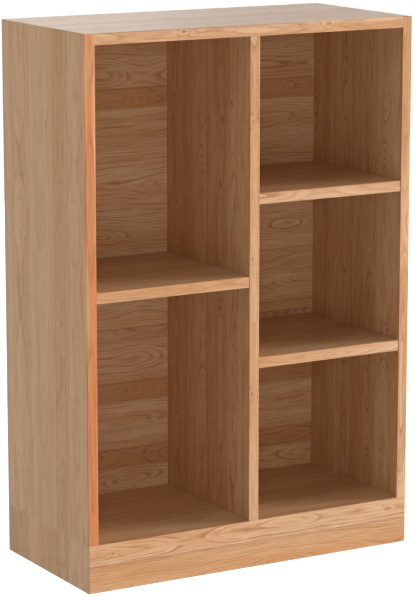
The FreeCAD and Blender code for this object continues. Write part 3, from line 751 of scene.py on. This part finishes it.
# %% A world that only the camera sees
WHITE = (1, 1, 1, 1)
JUST_WHITE = 1.05

world = bpy.data.worlds.new("studio")
bpy.context.scene.world = world
world.use_nodes = True
tree = world.node_tree
tree.nodes.clear()
seen = add(tree, "ShaderNodeLightPath").outputs["Is Camera Ray"]
shine = add(tree, "ShaderNodeBackground", {"Color": WHITE, "Strength": calc(tree, "MULTIPLY", seen, JUST_WHITE)})
add(tree, "ShaderNodeOutputWorld", {"Surface": shine.outputs[0]})
print("world:", world.name)

# %% [markdown]
# ## The floor
# A pale sheet of paper, large enough to have no edge in view, a hair below the plinth. Its own faint glow stands
# for the light that a white studio floor throws back up, and the camera sees it as white as the world.

# %% The floor
REACH = 12.0
HAIR = 0.0005
FLOOR_GLOW, FLOOR_SEEN = 0.426, 0.58
PAPER_GREY = (0.35, 0.35, 0.35, 1)

floor_mesh = bpy.data.meshes.new("studio_floor")
floor_mesh.from_pydata([(-REACH, -REACH, 0), (REACH, -REACH, 0), (REACH, REACH, 0), (-REACH, REACH, 0)],
                       [], [(0, 1, 2, 3)])
floor = bpy.data.objects.new("studio_floor", floor_mesh)
floor.location.z = -HAIR
bpy.context.scene.collection.objects.link(floor)
paper, tree = empty_material("studio_paper")
seen = add(tree, "ShaderNodeLightPath").outputs["Is Camera Ray"]
glow = calc(tree, "ADD", FLOOR_GLOW, calc(tree, "MULTIPLY", seen, FLOOR_SEEN))
surface = add(tree, "ShaderNodeBsdfPrincipled", {
    "Base Color": PAPER_GREY, "Roughness": 0.9, "Specular IOR Level": 0.1,
    "Emission Color": WHITE, "Emission Strength": glow})
add(tree, "ShaderNodeOutputMaterial", {"Surface": surface.outputs["BSDF"]})
floor_mesh.materials.append(paper)
print("floor", 2 * REACH, "m square")

# %% [markdown]
# ## Softboxes
# Light that comes from straight ahead fills the compartments as much as it lights the front. Light that comes from
# far out to one side skims over the front and hardly gets in, and that is what sets the bright frame off against
# the deep compartments. So most of the light is low, far off and to the right, and weak boxes all round fill in.
# Each box hangs on a sphere round the middle of the case, and faces it.

# %% Hanging a softbox
MIDDLE = Vector((0, 0, 0.45))


def hang_softbox(name, turn, rise, side, away, watts):
    """A square area light, facing the middle of the case from the given direction."""
    turn, rise = math.radians(turn), math.radians(rise)
    way = Vector((math.sin(turn) * math.cos(rise), -math.cos(turn) * math.cos(rise), math.sin(rise)))
    panel = bpy.data.lights.new(name, "AREA")
    panel.shape = "RECTANGLE"
    panel.size = panel.size_y = side
    panel.energy = watts
    softbox = bpy.data.objects.new(name, panel)
    softbox.location = MIDDLE + way * away
    softbox.rotation_euler = (-way).to_track_quat("-Z", "Y").to_euler()
    softbox.visible_camera = False
    bpy.context.scene.collection.objects.link(softbox)
    return softbox


print("helper: hang_softbox")

# %% [markdown]
# Each row says how far a box is turned from the front (to the right of the case is positive), how far above level
# it is, both in degrees, then its side and its distance in metres and its power in watts. The plain Standard view
# keeps the wood's colours as they are set, where a film-like view would grey them.

# %% The softboxes
SOFTBOXES = {
    "right": (66, 3, 2.4, 11.0, 800),
    "far_right": (74, 3, 2.4, 11.0, 1400),
    "right_side": (110, 6, 2.5, 3.5, 4),
    "back_right": (150, 12, 2.5, 3.5, 33),
    "back": (172, 12, 2.5, 3.5, 18),
    "left": (-116, 15, 2.5, 3.5, 29),
    "left_high": (-75, 40, 1.8, 3.5, 14.3),
    "front": (-20, 4, 1.8, 3.5, 27),
    "front_high": (-15, 40, 1.8, 3.5, 6),
    "top": (0, 85, 2.5, 3.0, 28),
}

lights = {name: hang_softbox(name, *numbers) for name, numbers in SOFTBOXES.items()}
bpy.context.scene.view_settings.view_transform = "Standard"
print(len(lights), "softboxes")

# %% [markdown]
# ## Boards that the strongest light leaves out
# Seen from the right, a light this strong would burn out the case's right side, and the first hand's breadth of the
# inner walls. In a real studio black flags would keep it off them. Light linking does the same without a flag: a
# collection of objects, each marked Exclude, is set as what the light reaches.

# %% Light linking
FLAGGED = ("right_side_panel", "plinth_right", "left_side_panel", "divider_panel")

flagged = bpy.data.collections.new("spared_by_the_far_right_light")
for node in FLAGGED:
    flagged.objects.link(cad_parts[node])
for entry in flagged.collection_objects:
    entry.light_linking.link_state = "EXCLUDE"
lights["far_right"].light_linking.receiver_collection = flagged
print("far_right leaves out", ", ".join(FLAGGED))
